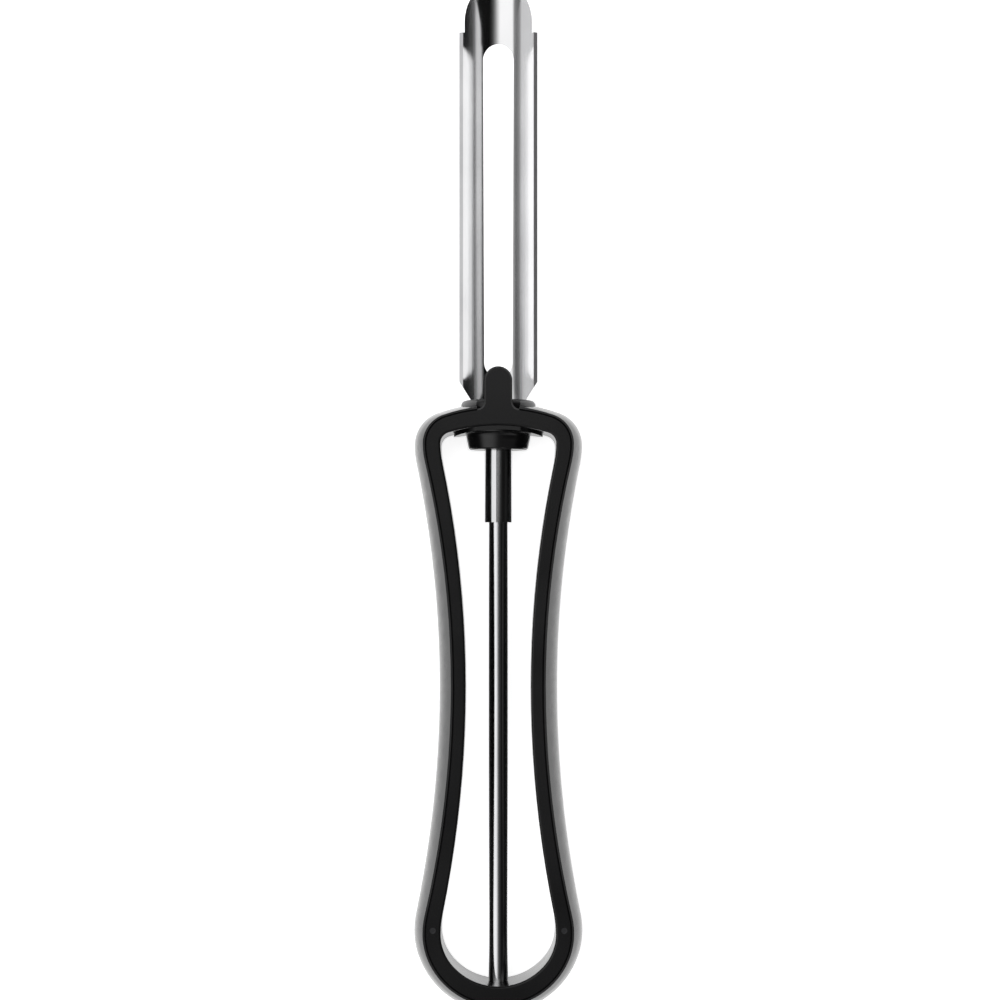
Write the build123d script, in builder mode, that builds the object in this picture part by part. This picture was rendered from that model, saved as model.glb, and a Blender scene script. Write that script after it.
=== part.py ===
from build123d import *
import os
from math import atan2, degrees, radians, sin

# Swivel-blade vegetable peeler with an open loop handle. All lengths are in millimetres.
# It lies on its back: +Y points to the blade's tip, X is the width and +Z is the front.
# The origin is under the middle of its length, on the plane that it rests on.

# Whole object
handle_length = 109.6
handle_depth = 14.0
blade_reach = 76.1
overrun = 4.0
quarter_turn = 90.0

overall_length = handle_length + blade_reach
crest_y = overall_length / 2 - blade_reach
foot_y = crest_y - handle_length
axis_z = handle_depth / 2
axis_plane = Plane.XY.offset(axis_z)
swivel_axis = Axis((0, 0, axis_z), (0, 1, 0))

# Silhouette of the loop: broad shoulder, narrow waist, round foot
shoulder_half_width = 15.1
waist_half_width = 10.6
foot_half_width = 15.15
shoulder_drop = 7.6
waist_drop = 50.8
foot_rise = 14.7

# How far the soft grip bulges beyond the hard face, and how wide the hard face is
grip_bulge_crest = 1.2
grip_bulge_shoulder = 2.0
grip_bulge_waist = 2.5
grip_bulge_foot = 2.0
grip_bulge_base = 2.1
bar_width_crest = 3.2
bar_width_shoulder = 2.8
bar_width_waist = 2.3
bar_width_foot = 2.9
bar_width_base = 3.3

face_insets = (grip_bulge_crest, grip_bulge_shoulder, grip_bulge_waist, grip_bulge_foot, grip_bulge_base)
bar_widths = (bar_width_crest, bar_width_shoulder, bar_width_waist, bar_width_foot, bar_width_base)
opening_insets = tuple(bulge + width for bulge, width in zip(face_insets, bar_widths))
opening_top_y = crest_y - opening_insets[0]
opening_base_y = foot_y + opening_insets[-1]

# Shape of the outline between those places
outer_corner_share = 0.80
opening_corner_share = 0.63
base_corner_share = 0.92
flank_corner_share = 0.076

# Soft grip
grip_lip = 0.35
grip_level_shares = (0.0, 0.2, 0.5, 0.8, 1.0)
rib_height = 4.0
rib_share = 0.45

# Hard frame details
face_edge_radius = 0.4
face_edge_chamfer = 0.3
collar_cover = 0.3
collar_wall = 1.0
collar_rise = 0.4
collar_sink = 2.0
collar_edge_radius = 0.9
pocket_floor_radius = 3.6
pocket_depth = 2.4
shank_hole_gap = 0.3

collar_radius = handle_depth / 2 - collar_cover
pocket_mouth_radius = collar_radius - collar_wall

# Blade stop, a tongue on the front of the top bar
stop_half_width = 2.5
stop_reach = 6.15
stop_thickness = 2.8
stop_flare_radius = 1.3
stop_root_depth = 1.2

# Running fit of everything that turns
running_clearance = 0.06
end_gap = 0.2

# Bearing bush
flange_radius = 8.0
flange_thickness = 0.7
flange_face_gap = 0.03
hub_top_radius = 5.75
hub_end_radius = 5.3
hub_length = 4.05
hub_edge_chamfer = 0.25
cove_radius = 0.9
cove_drop = 1.15
spigot_radius = 3.5
spigot_length = 1.6

# Blade
blade_width = 14.0
sheet = 0.75
floor_arc_radius = 5.6
floor_arc_angle = 50.0
wing_end_angle = 65.0
gouge_half_width = 6.05
gouge_length = 8.2
shoulder_setback = 9.95
slot_top_setback = 11.4
slot_top_radius = 2.75
slot_foot_radius = 2.55
slot_foot_reach = 4.8
edge_land = 0.25
bevel_angle = 22.0
corner_reach = 3.6
corner_end_reach = 0.4
corner_end_half_width = 4.85
neck_half_width = 2.0
neck_shoulder_drop = 1.0

# Rolled shank and rod
rod_radius = 1.75
shank_top_drop = 1.4
shank_end_drop = 21.5
seam_width = 0.2
seam_offset = 0.3
groove_width = 0.9
groove_depth = 0.3
lip_side_gap = 0.12
rod_top_gap = 0.4
rod_socket_depth = 2.7
rod_end_chamfer = 0.3

shank_radius = rod_radius + sheet
tip_y = crest_y + blade_reach


def crown_arcs(half_width, rise, corner_share):
    """Radius and angle of a crown's middle arc, then of its corner arc."""
    corner = rise * corner_share
    middle = (half_width**2 + rise**2 - 2 * half_width * corner) / (2 * (rise - corner))
    angle = degrees(atan2(half_width - corner, middle - rise))
    return (middle, angle), (corner, quarter_turn - angle)


def flank_arcs(offset, length):
    """Radius and angle of a flank's rounded end, then of its hollow, which together make an S."""
    angle = 2 * atan2(offset, length)
    radii = length / sin(angle)
    return (radii * flank_corner_share, degrees(angle)), (radii * (1 - flank_corner_share), degrees(angle))


def loop_face(insets, corner_share, lowered=0.0):
    """Filled hourglass of tangent arcs that lies inside the silhouette by the insets at its five places."""
    crest_inset, shoulder_inset, waist_inset, foot_inset, base_inset = insets
    shoulder = shoulder_half_width - shoulder_inset
    waist = waist_half_width - waist_inset
    foot = foot_half_width - foot_inset
    crown = crown_arcs(shoulder, shoulder_drop - crest_inset, corner_share)
    upper_flank = flank_arcs(shoulder - waist, waist_drop - shoulder_drop)
    lower_flank = flank_arcs(foot - waist, handle_length - waist_drop - foot_rise)
    base = crown_arcs(foot, foot_rise - base_inset, base_corner_share)
    turns = [(radius, -angle) for radius, angle in (*crown, upper_flank[0])]
    turns += [upper_flank[1], lower_flank[1]]
    turns += [(radius, -angle) for radius, angle in (lower_flank[0], *reversed(base))]
    with BuildSketch() as hourglass:
        with BuildLine():
            place = Vector(0, crest_y - crest_inset - lowered)
            heading = Vector(1, 0)
            for radius, angle in turns:
                arc = JernArc(place, heading, radius, angle)
                place = arc @ 1
                heading = arc % 1
            mirror(about=Plane.YZ)
        make_face()
    return hourglass.sketch


def grip_insets(bulge_share):
    """Insets of the grip's outside where its bulge has reached this share, never closer than its lip."""
    return tuple(bulge - grip_lip - (bulge - grip_lip) * bulge_share for bulge in face_insets)


# Hollows round the swivel axis: conical pocket for the blade's neck, hole for its shank, seat of the bush's
# spigot and blind socket for the rod's foot. The blade stop is left standing in the pocket.
stop_back_z = handle_depth - stop_thickness
stop_root_y = crest_y - grip_bulge_crest - stop_root_depth
stop_centre_y = crest_y + stop_reach - stop_half_width
spigot_top_y = opening_top_y + spigot_length
shank_hole_radius = shank_radius + shank_hole_gap

with BuildPart() as axis_hollows:
    with BuildSketch(axis_plane):
        with BuildLine():
            Polyline(
                (0, crest_y + overrun),
                (pocket_mouth_radius, crest_y + overrun),
                (pocket_mouth_radius, crest_y),
                (pocket_floor_radius, crest_y - pocket_depth),
                (shank_hole_radius, crest_y - pocket_depth),
                (shank_hole_radius, spigot_top_y),
                (spigot_radius, spigot_top_y),
                (spigot_radius, opening_top_y - overrun),
                (0, opening_top_y - overrun),
                close=True,
            )
        make_face()
    revolve(axis=swivel_axis)
    with BuildSketch(axis_plane):
        with Locations((0, opening_base_y - rod_socket_depth)):
            Rectangle(
                rod_radius + running_clearance, rod_socket_depth + overrun, align=(Align.MIN, Align.MIN)
            )
    revolve(axis=swivel_axis)
    with BuildSketch(Plane.XY.offset(stop_back_z)):
        with Locations((0, stop_root_y)):
            Rectangle(2 * stop_half_width, overall_length, align=(Align.CENTER, Align.MIN))
    extrude(amount=stop_thickness, mode=Mode.SUBTRACT)

# Hard frame: the flat-faced loop with its blade stop, retaining rib and round collar
with BuildPart() as handle_frame:
    with BuildSketch():
        add(loop_face(face_insets, outer_corner_share))
        add(loop_face(opening_insets, opening_corner_share), mode=Mode.SUBTRACT)
    extrude(amount=handle_depth)

    # Blade stop with a round top and a root that flares into the loop's edge
    with BuildSketch(Plane.XY.offset(stop_back_z)):
        add(loop_face(face_insets, outer_corner_share))
        with Locations((0, stop_centre_y)):
            Circle(stop_half_width)
            Rectangle(2 * stop_half_width, stop_centre_y - stop_root_y, align=(Align.CENTER, Align.MAX))
        root_corners = [
            vertices().sort_by_distance((side * stop_half_width, crest_y - grip_bulge_crest))[0]
            for side in (-1, 1)
        ]
        fillet(root_corners, radius=stop_flare_radius)
        add(loop_face(opening_insets, opening_corner_share), mode=Mode.SUBTRACT)
    extrude(amount=stop_thickness)

    # Both flat faces: rounded edges round the opening, slanted ones beside the soft grip
    flat_faces = faces().filter_by(Axis.Z).sort_by(Axis.Z)
    opening_edges = flat_faces[-1].inner_wires().edges() + flat_faces[0].inner_wires().edges()
    grip_side_edges = flat_faces[-1].outer_wire().edges() + flat_faces[0].outer_wire().edges()
    fillet(opening_edges, radius=face_edge_radius)
    chamfer(grip_side_edges, length=face_edge_chamfer)

    # Rib round the middle that the soft grip is moulded over
    with BuildSketch(Plane.XY.offset(axis_z - rib_height / 2)):
        add(loop_face(grip_insets(rib_share), outer_corner_share))
        add(loop_face(opening_insets, opening_corner_share), mode=Mode.SUBTRACT)
    extrude(amount=rib_height)

    # Round collar on the crest
    with BuildSketch(axis_plane):
        with Locations((0, crest_y + collar_rise)):
            Rectangle(collar_radius, collar_rise + collar_sink, align=(Align.MIN, Align.MAX))
        rim_corner = vertices().group_by(Axis.Y)[-1].sort_by(Axis.X)[-1]
        fillet(rim_corner, radius=collar_edge_radius)
    revolve(axis=swivel_axis)
    add(axis_hollows.part, mode=Mode.SUBTRACT)

handle_frame.part.label = "handle_frame"

# Soft grip: a barrel-sided band moulded round the frame
with BuildPart() as soft_grip:
    for level in grip_level_shares:
        with BuildSketch(Plane.XY.offset(handle_depth * level)):
            add(loop_face(grip_insets(1 - (1 - 2 * level) ** 2), outer_corner_share))
    loft()
    with BuildSketch():
        add(loop_face(face_insets, outer_corner_share))
    extrude(amount=handle_depth, mode=Mode.SUBTRACT)
    with BuildSketch(Plane.XY.offset(axis_z - rib_height / 2)):
        add(loop_face(grip_insets(rib_share), outer_corner_share))
    extrude(amount=rib_height, mode=Mode.SUBTRACT)
    with BuildSketch(axis_plane):
        with Locations((0, crest_y - collar_sink)):
            Rectangle(collar_radius, collar_sink + overrun, align=(Align.MIN, Align.MIN))
    revolve(axis=swivel_axis, mode=Mode.SUBTRACT)
    with BuildSketch(Plane.XY.offset(stop_back_z)):
        with Locations((0, stop_root_y)):
            Rectangle(
                2 * (stop_half_width + stop_flare_radius),
                overall_length,
                align=(Align.CENTER, Align.MIN),
            )
    extrude(amount=stop_thickness, mode=Mode.SUBTRACT)

soft_grip.part.label = "soft_grip"

# Bearing bush: saddle flange with two flats, cove, hub, spigot and an inner lip that holds the shank
flange_under_y = opening_top_y - flange_thickness
hub_end_y = opening_top_y - hub_length
groove_y = flange_under_y - (hub_length - flange_thickness) / 2
cove_top_y = flange_under_y - (cove_drop - cove_radius)
cove_end_y = flange_under_y - cove_drop

with BuildPart() as bearing_bush:
    with BuildSketch(axis_plane):
        with Locations((0, opening_top_y)):
            Rectangle(flange_radius, overrun, align=(Align.MIN, Align.MAX))
    revolve(axis=swivel_axis)
    with BuildSketch():
        add(loop_face(opening_insets, opening_corner_share, flange_thickness))
    extrude(amount=handle_depth, mode=Mode.SUBTRACT)
    with BuildSketch(axis_plane):
        with BuildLine():
            cove = RadiusArc(
                (cove_radius + hub_top_radius, cove_top_y), (hub_top_radius, cove_end_y), -cove_radius
            )
            Polyline(
                cove @ 1,
                (hub_end_radius, hub_end_y),
                (0, hub_end_y),
                (0, opening_top_y),
                (cove_radius + hub_top_radius, opening_top_y),
                cove @ 0,
            )
        make_face()
    revolve(axis=swivel_axis)
    with BuildSketch(Plane.XY.offset(flange_face_gap)):
        add(loop_face(opening_insets, opening_corner_share))
    extrude(amount=handle_depth - 2 * flange_face_gap, mode=Mode.INTERSECT)
    hub_rim = edges().filter_by(GeomType.CIRCLE).group_by(Axis.Y)[0]
    chamfer(hub_rim, length=hub_edge_chamfer)
    with BuildSketch(axis_plane):
        with Locations((0, opening_top_y - flange_thickness / 2)):
            Rectangle(spigot_radius, spigot_length + flange_thickness / 2, align=(Align.MIN, Align.MIN))
    revolve(axis=swivel_axis)
    with BuildSketch(axis_plane):
        with Locations((0, hub_end_y - overrun)):
            Rectangle(
                shank_radius + running_clearance,
                hub_length + spigot_length + 2 * overrun,
                align=(Align.MIN, Align.MIN),
            )
    revolve(axis=swivel_axis, mode=Mode.SUBTRACT)
    lip_inner_radius = shank_radius - groove_depth + running_clearance
    with BuildSketch(axis_plane):
        with Locations((lip_inner_radius, groove_y)):
            Rectangle(
                shank_radius - lip_inner_radius + 2 * running_clearance,
                groove_width - 2 * lip_side_gap,
                align=(Align.MIN, Align.CENTER),
            )
    revolve(axis=swivel_axis)

bearing_bush.part.label = "bearing_bush"

# Blade: pressed channel, trimmed to its outline, slotted and ground, with its shank rolled into a tube
floor_z = axis_z - rod_radius
floor_sine = sin(radians(floor_arc_angle))
wing_sine = sin(radians(wing_end_angle))
wing_arc_angle = wing_end_angle - floor_arc_angle
floor_outer_radius = floor_arc_radius + sheet
wing_outer_radius = (blade_width / 2 - floor_outer_radius * floor_sine) / (wing_sine - floor_sine)
wing_arc_radius = wing_outer_radius - sheet
neck_end_y = crest_y - shank_top_drop - sheet
shoulder_line_y = tip_y - shoulder_setback
slot_top_centre_y = tip_y - slot_top_setback - slot_top_radius
slot_foot_centre_y = crest_y + slot_foot_reach + slot_foot_radius
slot_edge_z = floor_z + floor_arc_radius - (floor_arc_radius**2 - slot_top_radius**2) ** 0.5


def blade_slot():
    """Draw the slot: two round ends joined by straight sides that close in towards the handle."""
    with Locations((0, slot_top_centre_y)):
        Circle(slot_top_radius)
    with Locations((0, slot_foot_centre_y)):
        Circle(slot_foot_radius)
    make_hull()


with BuildPart() as blade:
    with BuildSketch(Plane.XZ.offset(-neck_end_y)):
        with BuildLine():
            inner_floor = JernArc((0, floor_z), (1, 0), floor_arc_radius, floor_arc_angle)
            inner_wing = JernArc(inner_floor @ 1, inner_floor % 1, wing_arc_radius, wing_arc_angle)
            outer_floor = JernArc((0, floor_z - sheet), (1, 0), floor_outer_radius, floor_arc_angle)
            outer_wing = JernArc(outer_floor @ 1, outer_floor % 1, wing_outer_radius, wing_arc_angle)
            Line(inner_wing @ 1, outer_wing @ 1)
            mirror(about=Plane.YZ)
        make_face()
    extrude(amount=neck_end_y - tip_y)

    # Outline seen from the front: gouge tip, shoulders, slanted lower corners and neck
    with BuildSketch():
        with BuildLine():
            gouge = EllipticalCenterArc(
                (0, tip_y - gouge_length), gouge_half_width, gouge_length, arc_size=quarter_turn
            )
            Polyline(
                gouge @ 0,
                (gouge_half_width, shoulder_line_y),
                (blade_width, shoulder_line_y),
                (blade_width, crest_y + corner_reach),
                (blade_width / 2, crest_y + corner_reach),
                (corner_end_half_width, crest_y + corner_end_reach),
                (neck_half_width, crest_y - neck_shoulder_drop),
                (neck_half_width, neck_end_y - overrun),
                (0, neck_end_y - overrun),
            )
            mirror(about=Plane.YZ)
        make_face()
    extrude(amount=handle_depth, mode=Mode.INTERSECT)

    # Slot, and the bevels ground along its underside up to a narrow land
    with BuildSketch():
        blade_slot()
    extrude(amount=handle_depth, mode=Mode.SUBTRACT)
    with BuildSketch(Plane.XY.offset(slot_edge_z - edge_land)):
        blade_slot()
    extrude(amount=-overrun, taper=-bevel_angle, mode=Mode.SUBTRACT)

    # Rolled shank with its seam and the groove that the bush's lip runs in
    with BuildSketch(axis_plane):
        with Locations((rod_radius, crest_y - shank_end_drop)):
            Rectangle(sheet, shank_end_drop - shank_top_drop, align=(Align.MIN, Align.MIN))
    revolve(axis=swivel_axis)
    with BuildSketch(axis_plane):
        with Locations((shank_radius - groove_depth, groove_y)):
            Rectangle(groove_depth + overrun, groove_width, align=(Align.MIN, Align.CENTER))
    revolve(axis=swivel_axis, mode=Mode.SUBTRACT)
    with BuildSketch(axis_plane):
        with Locations((-seam_offset, crest_y - shank_end_drop - overrun)):
            Rectangle(seam_width, shank_end_drop + 2 * overrun, align=(Align.CENTER, Align.MIN))
    extrude(amount=shank_radius + sheet, mode=Mode.SUBTRACT)

blade.part.label = "blade"

# Pivot rod, held in the rolled shank and turning in the socket at the foot
rod_top_y = crest_y - shank_top_drop - rod_top_gap
rod_foot_y = opening_base_y - rod_socket_depth + end_gap

with BuildPart() as pivot_rod:
    with BuildSketch(axis_plane):
        with Locations((0, rod_foot_y)):
            Rectangle(rod_radius, rod_top_y - rod_foot_y, align=(Align.MIN, Align.MIN))
    revolve(axis=swivel_axis)
    chamfer(edges().filter_by(GeomType.CIRCLE), length=rod_end_chamfer)

pivot_rod.part.label = "pivot_rod"

os.makedirs("parts", exist_ok=True)
for piece in (handle_frame, soft_grip, bearing_bush, blade, pivot_rod):
    export_step(piece.part, f"parts/{piece.part.label}.step")
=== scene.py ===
"""Vegetable peeler lying on its back, dressed and lit for a studio picture taken from straight above."""

from __future__ import annotations

import logging
from dataclasses import dataclass, field
from enum import Enum, IntEnum
from math import pi, radians
from typing import Sequence

import bmesh
import bpy
from mathutils import Matrix, Vector


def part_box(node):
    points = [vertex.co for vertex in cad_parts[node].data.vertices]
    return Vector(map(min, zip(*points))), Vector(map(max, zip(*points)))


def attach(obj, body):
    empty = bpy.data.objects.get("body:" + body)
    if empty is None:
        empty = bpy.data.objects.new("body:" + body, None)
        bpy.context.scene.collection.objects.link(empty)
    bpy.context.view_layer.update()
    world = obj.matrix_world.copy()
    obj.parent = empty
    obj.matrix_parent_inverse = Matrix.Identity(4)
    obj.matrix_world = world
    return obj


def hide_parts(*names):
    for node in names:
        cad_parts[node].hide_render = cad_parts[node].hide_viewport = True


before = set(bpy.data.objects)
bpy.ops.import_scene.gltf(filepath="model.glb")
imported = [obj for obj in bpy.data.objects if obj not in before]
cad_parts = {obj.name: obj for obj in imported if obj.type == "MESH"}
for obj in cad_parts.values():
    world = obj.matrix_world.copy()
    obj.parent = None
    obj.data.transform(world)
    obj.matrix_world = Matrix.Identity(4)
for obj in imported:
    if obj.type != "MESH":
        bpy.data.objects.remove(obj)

log = logging.getLogger("peeler")

MM = 0.001
FULL_TURN = 360.0
QUARTER_TURN = 90.0
WHITE = (1.0, 1.0, 1.0, 1.0)

Colour = tuple[float, float, float]
Place = tuple[float, float, float]
Span = tuple[float, float]
Tones = tuple[Span, ...]
Socket = bpy.types.NodeSocket


class Body(Enum):
    """Rigid bodies of the peeler."""

    HANDLE = "handle"
    SWIVEL_BLADE = "swivel_blade"


class Grain(Enum):
    """Which way a surface's finish lines run."""

    NONE = (1.0, 1.0, 1.0)
    ALONG = (1.0, 0.03, 1.0)
    ACROSS = (0.04, 1.0, 1.0)


class BladeFace(IntEnum):
    """Kinds of surface on the blade, in the order of its finishes."""

    PRESSED = 0
    STAMPED = 1
    GROUND = 2


class Board:
    """The node tree of a material or world, with short calls that place and wire its nodes."""

    noise_middle: Span = (0.3, 0.7)
    tint_middle: Span = (0.35, 0.65)

    def __init__(self, owner: bpy.types.Material | bpy.types.World) -> None:
        """Switch the owner's nodes on and empty its tree.

        Args:
            owner: The new material or world.
        """
        owner.use_nodes = True
        self.tree = owner.node_tree
        self.tree.nodes.clear()

    def node(
        self,
        kind: str,
        settings: dict[str, object] | None = None,
        values: Sequence[object] = (),
        **inputs: object,
    ) -> bpy.types.Node:
        """Add a node and set or wire its inputs.

        Args:
            kind: Blender's type name of the node, without its first two words.
            settings: Properties of the node itself.
            values: Input values, or output sockets to wire in, in the order of the inputs.
            **inputs: The same by name, with spaces as underscores.

        Returns:
            The new node.
        """
        made = self.tree.nodes.new(f"ShaderNode{kind}")
        for key, value in (settings or {}).items():
            setattr(made, key, value)
        named = {key.replace("_", " "): value for key, value in inputs.items()}
        for key, value in (*enumerate(values), *named.items()):
            socket = made.inputs[key]
            if isinstance(value, Socket):
                self.tree.links.new(value, socket)
            else:
                socket.default_value = value
        return made

    def finish(self, shader: bpy.types.Node, output: str = "OutputMaterial") -> None:
        """Wire the shader to the tree's output.

        Args:
            shader: The node whose first output is the surface.
            output: Type name of the output node.
        """
        self.node(output, Surface=shader.outputs[0])

    def coordinates(self, grain: Grain = Grain.NONE) -> Socket:
        """Place in the piece, in metres, stretched along the grain.

        Args:
            grain: Which way the finish lines run.

        Returns:
            The vector's socket.
        """
        place = self.node("TexCoord").outputs["Object"]
        return self.node("Mapping", Vector=place, Scale=grain.value).outputs["Vector"]

    def noise(self, place: Socket, scale: float, detail: float) -> Socket:
        """Noise from 0 to 1.

        Args:
            place: Coordinates to read.
            scale: Number of features in a metre.
            detail: Octaves of finer noise.

        Returns:
            The noise's socket.
        """
        return self.node("TexNoise", Vector=place, Scale=scale, Detail=detail).outputs["Fac"]

    def remap(self, value: Socket, source: Span, target: Span = (0.0, 1.0)) -> Socket:
        """Stretch one range to another and hold the value at its ends.

        Args:
            value: The value to stretch.
            source: Its low and high end.
            target: The results there.

        Returns:
            The result's socket.
        """
        ranged = self.node(
            "MapRange",
            Value=value,
            From_Min=source[0],
            From_Max=source[1],
            To_Min=target[0],
            To_Max=target[1],
        )
        return ranged.outputs["Result"]

    def tint(self, value: Socket, low: Colour, high: Colour) -> Socket:
        """Colour between two by a noise.

        Args:
            value: Noise from 0 to 1.
            low: Colour at the noise's low end.
            high: Colour at its high end.

        Returns:
            The colour's socket.
        """
        ramp = self.node("ValToRGB", Fac=value)
        for stop, place, colour in zip(ramp.color_ramp.elements, self.tint_middle, (low, high)):
            stop.position = place
            stop.color = (*colour, 1.0)
        return ramp.outputs["Color"]

    def tones(self, turn: Socket, tones: Tones) -> Socket:
        """Grey by an angle.

        Args:
            turn: The angle as a share of a full turn, with straight up in the middle.
            tones: Degrees to the right of straight up, and the brightness there, from left to right.

        Returns:
            The colour's socket.
        """
        ramp = self.node("ValToRGB", Fac=turn)
        stops = ramp.color_ramp.elements
        stops.remove(stops[-1])
        for index, (degrees_right, level) in enumerate(tones):
            place = 0.5 + degrees_right / FULL_TURN
            stop = stops.new(place) if index else stops[0]
            stop.position = place
            stop.color = (level, level, level, 1.0)
        return ramp.outputs["Color"]

    def mix(self, share: Socket | float, under: Socket, over: object, blend: str = "MIX") -> Socket:
        """Lay a colour over another.

        Args:
            share: How much of the new colour shows, from 0 to 1.
            under: The colour below.
            over: The new colour.
            blend: How the two are put together.

        Returns:
            The colour's socket.
        """
        settings = {"data_type": "RGBA", "blend_type": blend}
        return self.node("Mix", settings, Factor=share, A=under, B=over).outputs["Result"]

    def bump(self, height: Socket, depth: float, **under: Socket) -> Socket:
        """Relief from a height.

        Args:
            height: Height from 0 to 1.
            depth: Height of the relief in metres.
            **under: As Normal, the relief that this one lies on.

        Returns:
            The normal's socket.
        """
        return self.node("Bump", Height=height, Distance=depth, Strength=1.0, **under).outputs["Normal"]

    def disc(self, mark: PinMark) -> Socket:
        """Soft-edged disc seen along Z.

        Args:
            mark: Its place and size.

        Returns:
            The socket of a value that is 1 inside and 0 outside.
        """
        place = self.node("TexCoord").outputs["Object"]
        flat = self.node("VectorMath", {"operation": "MULTIPLY"}, (place, (1.0, 1.0, 0.0)))
        centre = (mark.x, mark.y, 0.0)
        reach = self.node("VectorMath", {"operation": "DISTANCE"}, (flat.outputs["Vector"], centre))
        return self.remap(reach.outputs["Value"], (mark.radius - mark.rim, mark.radius), (1.0, 0.0))


@dataclass(frozen=True)
class PinMark:
    """Faint round mark that an ejector pin leaves on a moulded face."""

    x: float
    y: float
    radius: float = 0.6 * MM
    rim: float = 0.15 * MM


@dataclass(frozen=True)
class MouldedPlastic:
    """Black moulded plastic with a fine spark-eroded grain, slightly uneven gloss and any pin marks."""

    name: str
    colour: Colour
    high_colour: Colour
    roughness: Span
    grain_scale: float
    grain_depth: float
    pin_marks: tuple[PinMark, ...] = ()
    mark_colour: Colour = (0.022, 0.022, 0.0235)
    mark_depth: float = 0.015 * MM
    gloss: float = 0.5
    grain_detail: float = 2.0
    cloud_scale: float = 60.0
    cloud_detail: float = 3.0

    def material(self) -> bpy.types.Material:
        """Build the material.

        Returns:
            The finished material.
        """
        material = bpy.data.materials.new(self.name)
        board = Board(material)
        place = board.coordinates()
        cloud = board.noise(place, self.cloud_scale, self.cloud_detail)
        fine = board.noise(place, self.grain_scale, self.grain_detail)
        colour = board.tint(cloud, self.colour, self.high_colour)
        normal = board.bump(fine, self.grain_depth)
        for mark in self.pin_marks:
            inside = board.disc(mark)
            colour = board.mix(inside, colour, (*self.mark_colour, 1.0))
            normal = board.bump(inside, -self.mark_depth, Normal=normal)
        shader = board.node(
            "BsdfPrincipled",
            Base_Color=colour,
            Roughness=board.remap(cloud, board.noise_middle, self.roughness),
            Specular_IOR_Level=self.gloss,
            Normal=normal,
        )
        board.finish(shader)
        return material


@dataclass(frozen=True)
class WorkedSteel:
    """Stainless steel with fine finish lines along one direction."""

    name: str
    colour: Colour
    low_colour: Colour
    roughness: Span
    grain: Grain
    line_scale: float
    line_depth: float = 0.0
    line_detail: float = 3.0
    cloud_scale: float = 90.0
    cloud_detail: float = 2.0

    def material(self) -> bpy.types.Material:
        """Build the material.

        Returns:
            The finished material.
        """
        material = bpy.data.materials.new(self.name)
        board = Board(material)
        lines = board.noise(board.coordinates(self.grain), self.line_scale, self.line_detail)
        cloud = board.noise(board.coordinates(), self.cloud_scale, self.cloud_detail)
        relief = {"Normal": board.bump(lines, self.line_depth)} if self.line_depth else {}
        shader = board.node(
            "BsdfPrincipled",
            Base_Color=board.tint(cloud, self.low_colour, self.colour),
            Metallic=1.0,
            Roughness=board.remap(lines, board.noise_middle, self.roughness),
            **relief,
        )
        board.finish(shader)
        return material


Finish = MouldedPlastic | WorkedSteel

FRAME_BLACK = MouldedPlastic(
    "frame_black",
    colour=(0.005, 0.005, 0.0052),
    high_colour=(0.0065, 0.0065, 0.0068),
    roughness=(0.18, 0.25),
    grain_scale=9000.0,
    grain_depth=0.0015 * MM,
    pin_marks=(PinMark(-11.7 * MM, -77.5 * MM), PinMark(11.7 * MM, -77.5 * MM)),
    gloss=0.32,
)
# Collar faces: the loop's black plastic, rougher, with a lighter colour that is a painted reflection of the
# light.
COLLAR_PAINTED_SHEEN = MouldedPlastic(
    "collar_painted_sheen",
    colour=(0.075, 0.075, 0.076),
    high_colour=(0.082, 0.082, 0.083),
    roughness=(0.30, 0.38),
    grain_scale=9000.0,
    grain_depth=0.0015 * MM,
)
GRIP_BLACK = MouldedPlastic(
    "grip_black",
    colour=(0.016, 0.016, 0.0163),
    high_colour=(0.020, 0.020, 0.0204),
    roughness=(0.13, 0.19),
    grain_scale=7000.0,
    grain_depth=0.0015 * MM,
)
BUSH_BLACK = MouldedPlastic(
    "bush_black",
    colour=(0.003, 0.003, 0.0032),
    high_colour=(0.004, 0.004, 0.0042),
    roughness=(0.20, 0.26),
    grain_scale=9000.0,
    grain_depth=0.001 * MM,
)
CHANNEL_STEEL = WorkedSteel(
    "channel_steel",
    colour=(0.67, 0.67, 0.675),
    low_colour=(0.63, 0.63, 0.635),
    roughness=(0.12, 0.16),
    grain=Grain.ALONG,
    line_scale=2500.0,
)
CUT_STEEL = WorkedSteel(
    "cut_steel",
    colour=(0.62, 0.62, 0.63),
    low_colour=(0.56, 0.56, 0.57),
    roughness=(0.42, 0.50),
    grain=Grain.ACROSS,
    line_scale=3000.0,
    line_depth=0.001 * MM,
)
GROUND_STEEL = WorkedSteel(
    "ground_steel",
    colour=(0.74, 0.74, 0.75),
    low_colour=(0.69, 0.69, 0.70),
    roughness=(0.28, 0.36),
    grain=Grain.ACROSS,
    line_scale=4000.0,
    line_depth=0.0005 * MM,
)
WIRE_STEEL = WorkedSteel(
    "wire_steel",
    colour=(0.74, 0.74, 0.75),
    low_colour=(0.70, 0.70, 0.71),
    roughness=(0.11, 0.15),
    grain=Grain.ALONG,
    line_scale=2500.0,
)


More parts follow.
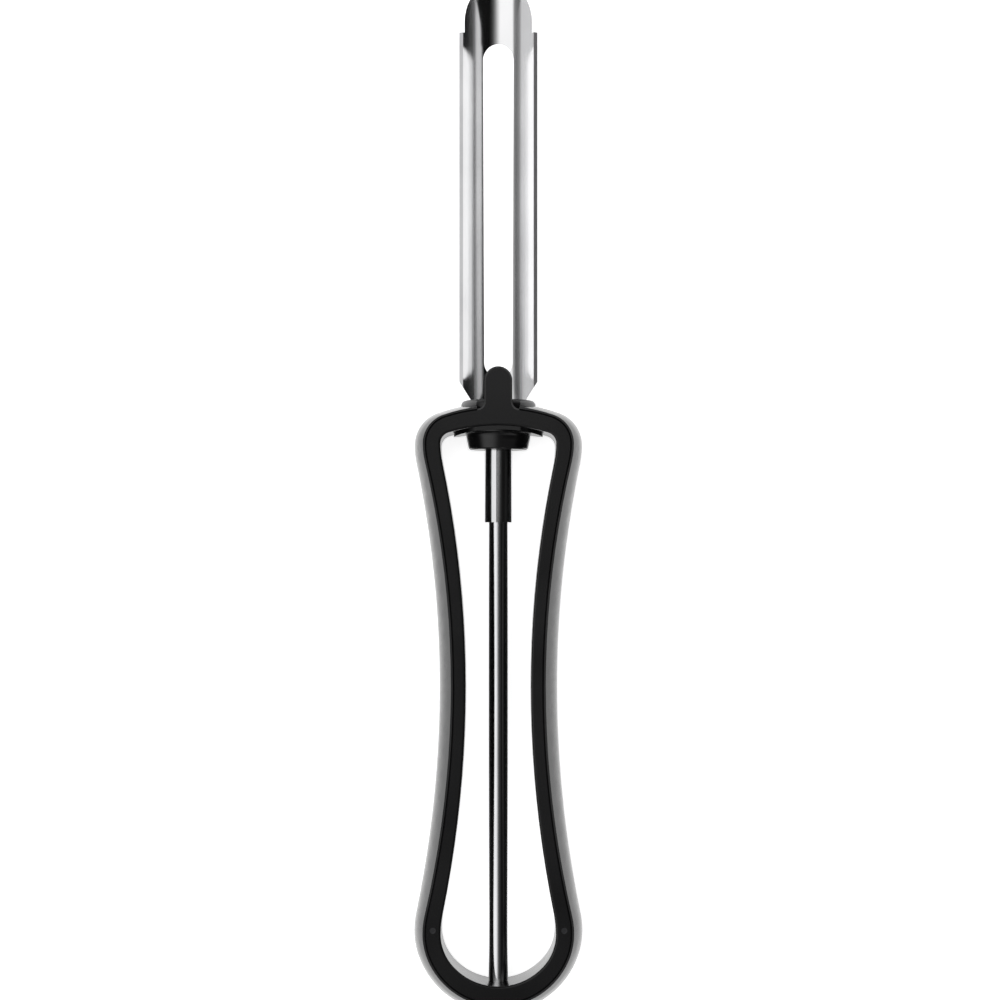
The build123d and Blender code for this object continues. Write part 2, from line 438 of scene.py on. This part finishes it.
@dataclass
class Piece:
    """One piece of the peeler, which stands for one node of the frame."""

    node: str
    body: Body
    slot: str
    finishes: tuple[Finish, ...]
    sharp_angle: float = 28.0
    weld: float = 0.001 * MM
    normal_weight: int = 60

    def frame_shape(self) -> bmesh.types.BMesh:
        """Copy the node's mesh and merge its doubles.

        Returns:
            The merged shape.
        """
        shape = bmesh.new()
        shape.from_mesh(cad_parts[self.node].data)
        bmesh.ops.remove_doubles(shape, verts=shape.verts, dist=self.weld)
        bmesh.ops.dissolve_degenerate(shape, edges=shape.edges, dist=self.weld)
        return shape

    def attach(self, shape: bmesh.types.BMesh) -> bpy.types.Object:
        """Shade, dress and attach the finished shape.

        Args:
            shape: The piece's shape, which is freed.

        Returns:
            The finished object.
        """
        limit = radians(self.sharp_angle)
        for face in shape.faces:
            face.smooth = True
        for edge in shape.edges:
            edge.smooth = len(edge.link_faces) == 2 and edge.calc_face_angle(0.0) < limit
        made = bpy.data.meshes.new(self.node)
        shape.to_mesh(made)
        shape.free()
        piece = bpy.data.objects.new(f"{self.node}_form", made)
        bpy.context.scene.collection.objects.link(piece)
        for finish in self.finishes:
            made.materials.append(finish.material())
        weighted = piece.modifiers.new("even_shading", "WEIGHTED_NORMAL")
        weighted.keep_sharp = True
        weighted.weight = self.normal_weight
        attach(piece, self.body.value)
        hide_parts(self.node)
        log.info("%s: %d faces", piece.name, len(made.polygons))
        return piece


@dataclass
class Handle:
    """The hard loop with its stop and collar, the soft band round it and the bush under its top bar."""

    axis_z: float = 7.0 * MM
    collar_y: Span = (14.0 * MM, 17.4 * MM)
    collar_reach: Span = (5.65 * MM, 6.78 * MM)
    stop_reach_x: float = 3.9 * MM
    stop_back_z: float = 11.1 * MM
    loop_piece: Piece = field(
        default_factory=lambda: Piece(
            "handle_frame", Body.HANDLE, "frame_plastic", (FRAME_BLACK, COLLAR_PAINTED_SHEEN)
        )
    )
    grip_piece: Piece = field(
        default_factory=lambda: Piece("soft_grip", Body.HANDLE, "grip_rubber", (GRIP_BLACK,))
    )
    bush_piece: Piece = field(
        default_factory=lambda: Piece("bearing_bush", Body.HANDLE, "bush_plastic", (BUSH_BLACK,))
    )

    def on_collar(self, face: bmesh.types.BMFace) -> bool:
        """Say whether a face of the hard loop is on the collar that stands round the blade's shank.

        Args:
            face: A face of the hard loop.

        Returns:
            Whether it is on the collar's rim or side.
        """
        middle = face.calc_center_median()
        low, high = self.collar_y
        nearest, farthest = self.collar_reach
        on_stop = abs(middle.x) < self.stop_reach_x and middle.z > self.stop_back_z
        reach = Vector((middle.x, middle.z - self.axis_z)).length
        return low < middle.y < high and nearest < reach < farthest and not on_stop

    def loop(self) -> bpy.types.Object:
        """Build the hard loop, whose collar has a rougher finish and a lighter colour that is a painted
        reflection of the light.

        Returns:
            The loop's object.
        """
        shape = self.loop_piece.frame_shape()
        for face in shape.faces:
            # Collar faces take the second material, whose lighter colour is a painted reflection.
            face.material_index = int(self.on_collar(face))
        return self.loop_piece.attach(shape)

    def build(self) -> list[bpy.types.Object]:
        """Build the three moulded pieces.

        Returns:
            Their objects.
        """
        rest = (self.grip_piece, self.bush_piece)
        return [self.loop(), *(piece.attach(piece.frame_shape()) for piece in rest)]


@dataclass
class SwivelBlade:
    """The stamped blade with its rolled shank, and the wire rod held in it."""

    channel_bottom_y: float = 16.0 * MM
    wing_edge_x: float = 6.25 * MM
    wing_edge_rise: float = 0.8
    slot_edge_x: float = 3.7 * MM
    slot_foot_margin: float = 4.0 * MM
    slot_tip_margin: float = 9.0 * MM
    upright_rise: float = 0.05
    sideways_lean: float = 0.9
    bevel_rise: Span = (-0.5, -0.2)
    rod_sides: int = 96
    rod_chamfer: float = 0.3 * MM
    rod_chamfer_steps: int = 3
    blade_piece: Piece = field(
        default_factory=lambda: Piece(
            "blade", Body.SWIVEL_BLADE, "blade_steel", (CHANNEL_STEEL, CUT_STEEL, GROUND_STEEL)
        )
    )
    rod_piece: Piece = field(
        default_factory=lambda: Piece("pivot_rod", Body.SWIVEL_BLADE, "rod_steel", (WIRE_STEEL,))
    )

    def kind_of(self, face: bmesh.types.BMFace) -> BladeFace:
        """Say which kind of surface a face of the blade is.

        Args:
            face: A face of the blade.

        Returns:
            Pressed for the channel and the shank, stamped for the outline's edges, ground for the slot's.
        """
        middle = face.calc_center_median()
        if middle.y < self.channel_bottom_y:
            return BladeFace.PRESSED
        rise = face.normal.z
        upright = abs(rise) < self.upright_rise
        steepest, flattest = self.bevel_rise
        bevel = steepest < rise < flattest or abs(face.normal.x) > self.sideways_lean
        if self.by_slot(middle) and (upright or bevel):
            return BladeFace.GROUND
        on_wing_edge = abs(middle.x) > self.wing_edge_x and rise > self.wing_edge_rise
        return BladeFace.STAMPED if upright or on_wing_edge else BladeFace.PRESSED

    def by_slot(self, place: Vector) -> bool:
        """Say whether a place is beside the slot.

        Args:
            place: A place on the blade.

        Returns:
            Whether it is near the slot's edge and between its ends.
        """
        foot = self.channel_bottom_y + self.slot_foot_margin
        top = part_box("blade")[1][1] - self.slot_tip_margin
        return abs(place.x) < self.slot_edge_x and foot <= place.y <= top

    def blade(self) -> bpy.types.Object:
        """Build the blade with its stamped and ground edges.

        Returns:
            The blade's object.
        """
        shape = self.blade_piece.frame_shape()
        shape.normal_update()
        for face in shape.faces:
            face.material_index = self.kind_of(face)
        return self.blade_piece.attach(shape)

    def rod(self) -> bpy.types.Object:
        """Turn the rod from a circle, with its ends rounded over.

        Returns:
            The rod's object.
        """
        low, high = (Vector(corner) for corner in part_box("pivot_rod"))
        middle = (low + high) / 2
        shape = bmesh.new()
        ring = bmesh.ops.create_circle(
            shape, cap_ends=True, segments=self.rod_sides, radius=(high.x - low.x) / 2
        )["verts"]
        bmesh.ops.rotate(shape, verts=ring, matrix=Matrix.Rotation(radians(QUARTER_TURN), 3, "X"))
        bmesh.ops.translate(shape, verts=ring, vec=(middle.x, low.y, middle.z))
        far = bmesh.ops.extrude_face_region(shape, geom=shape.faces[:])["geom"]
        far_verts = [item for item in far if isinstance(item, bmesh.types.BMVert)]
        bmesh.ops.translate(shape, verts=far_verts, vec=(0.0, high.y - low.y, 0.0))
        bmesh.ops.recalc_face_normals(shape, faces=shape.faces)
        rims = [
            edge
            for edge in shape.edges
            if abs(edge.verts[0].co.y - edge.verts[1].co.y) < self.rod_chamfer
        ]
        bmesh.ops.bevel(
            shape,
            geom=rims,
            offset=self.rod_chamfer,
            affect="EDGES",
            segments=self.rod_chamfer_steps,
            profile=0.5,
            material=-1,
        )
        return self.rod_piece.attach(shape)

    def build(self) -> list[bpy.types.Object]:
        """Build the blade and the rod.

        Returns:
            Their objects.
        """
        return [self.blade(), self.rod()]


@dataclass
class Studio:
    """Pale floor, one soft light, a light tent and the camera straight above the handle."""

    floor_size: float = 3.0
    floor_colour: Colour = (0.85, 0.85, 0.85)
    floor_glow: float = 0.78
    fill_height: float = 1.2
    fill_size: float = 1.2
    fill_radiance: float = 1.6
    camera_place: Place = (0.0003, -0.0187, 0.580)
    lens: float = 114.6
    sensor_width: float = 36.0
    shift_y: float = 0.1
    clip_start: float = 0.01
    handle_tones: Tones = (
        (-90.0, 0.12),
        (-76.0, 0.12),
        (-66.0, 0.25),
        (-54.0, 1.15),
        (-24.0, 1.15),
        (-12.0, 0.60),
        (0.0, 0.13),
        (10.0, 0.05),
        (35.0, 0.008),
        (76.0, 0.008),
        (84.0, 0.60),
        (90.0, 0.65),
    )
    blade_tones: Tones = (
        (-90.0, 0.20),
        (-74.0, 0.20),
        (-64.0, 0.30),
        (-54.0, 1.45),
        (-6.0, 1.45),
        (4.0, 0.80),
        (12.0, 0.34),
        (19.0, 0.09),
        (30.0, 0.004),
        (74.0, 0.004),
        (84.0, 0.08),
        (90.0, 0.20),
    )
    end_tones: Tones = (
        (-90.0, 0.45),
        (-60.0, 0.90),
        (-20.0, 0.80),
        (0.0, 0.15),
        (25.0, 0.30),
        (60.0, 0.55),
        (90.0, 0.60),
    )
    tones_meet: Span = (0.0735, 0.083)
    ends_begin: Span = (0.26, 0.50)
    ends_close: Span = (0.80, 0.95)
    end_level: float = 0.3

    def floor(self) -> bpy.types.Object:
        """Lay the floor, which shows near white and keeps the peeler's shadow.

        Returns:
            The floor.
        """
        shape = bmesh.new()
        bmesh.ops.create_grid(shape, x_segments=1, y_segments=1, size=self.floor_size / 2)
        made = bpy.data.meshes.new("floor")
        shape.to_mesh(made)
        shape.free()
        floor = bpy.data.objects.new("floor", made)
        bpy.context.scene.collection.objects.link(floor)
        material = bpy.data.materials.new("floor_white")
        made.materials.append(material)
        board = Board(material)
        rays = board.node("LightPath").outputs
        seen = board.node(
            "Math",
            {"operation": "MAXIMUM", "use_clamp": True},
            (rays["Is Camera Ray"], rays["Is Glossy Ray"]),
        )
        strength = board.node("Math", {"operation": "MULTIPLY"}, (seen.outputs[0], self.floor_glow))
        matt = board.node("BsdfDiffuse", Color=(*self.floor_colour, 1.0))
        glow = board.node("Emission", Color=WHITE, Strength=strength.outputs[0])
        board.finish(board.node("AddShader", values=(matt.outputs[0], glow.outputs[0])))
        return floor

    def surround(self) -> None:
        """Set the world: white to the camera, and a soft light tent with a dark side for everything else.

        The tent has one set of tones over the handle, another over the blade and a softer one at both ends.
        """
        world = bpy.data.worlds.new("surround")
        bpy.context.scene.world = world
        board = Board(world)
        direction = board.node("TexCoord").outputs["Generated"]
        parts = board.node("SeparateXYZ", values=(direction,)).outputs
        around = board.node("Math", {"operation": "ARCTAN2"}, (parts["X"], parts["Z"])).outputs[0]
        turn = board.remap(around, (-pi, pi))
        along = board.node("Math", {"operation": "ABSOLUTE"}, (parts["Y"],)).outputs[0]
        tent = board.tones(turn, self.handle_tones)
        for tones, begin, place in (
            (self.blade_tones, self.tones_meet, parts["Y"]),
            (self.end_tones, self.ends_begin, along),
        ):
            tent = board.mix(board.remap(place, begin), tent, board.tones(turn, tones))
        closed = board.remap(along, self.ends_close, (1.0, self.end_level))
        tent = board.mix(1.0, tent, closed, "MULTIPLY")
        seen = board.node("LightPath").outputs["Is Camera Ray"]
        board.finish(board.node("Background", Color=board.mix(seen, tent, WHITE)), "OutputWorld")

    def fill(self) -> bpy.types.Object:
        """Hang the soft light straight above, which polished surfaces don't show.

        Returns:
            The light.
        """
        data = bpy.data.lights.new("top_fill", "AREA")
        data.shape = "SQUARE"
        data.size = self.fill_size
        data.energy = self.fill_radiance * pi * self.fill_size**2
        light = bpy.data.objects.new("top_fill", data)
        light.location = (0.0, 0.0, self.fill_height)
        light.visible_glossy = False
        bpy.context.scene.collection.objects.link(light)
        return light

    def camera(self) -> bpy.types.Object:
        """Place the camera.

        Returns:
            The camera.
        """
        data = bpy.data.cameras.new("camera")
        data.lens = self.lens
        data.sensor_width = self.sensor_width
        data.shift_y = self.shift_y
        data.clip_start = self.clip_start
        camera = bpy.data.objects.new("camera", data)
        camera.location = self.camera_place
        bpy.context.scene.collection.objects.link(camera)
        bpy.context.scene.camera = camera
        return camera

    def build(self) -> None:
        """Set up the whole studio."""
        self.floor()
        self.surround()
        self.fill()
        self.camera()
        bpy.context.scene.view_settings.view_transform = "Standard"


def main() -> None:
    """Build and dress every piece, then the studio."""
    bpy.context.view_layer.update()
    Handle().build()
    SwivelBlade().build()
    Studio().build()


if __name__ == "__main__":
    logging.basicConfig(level=logging.INFO, format="%(name)s: %(message)s")
    main()
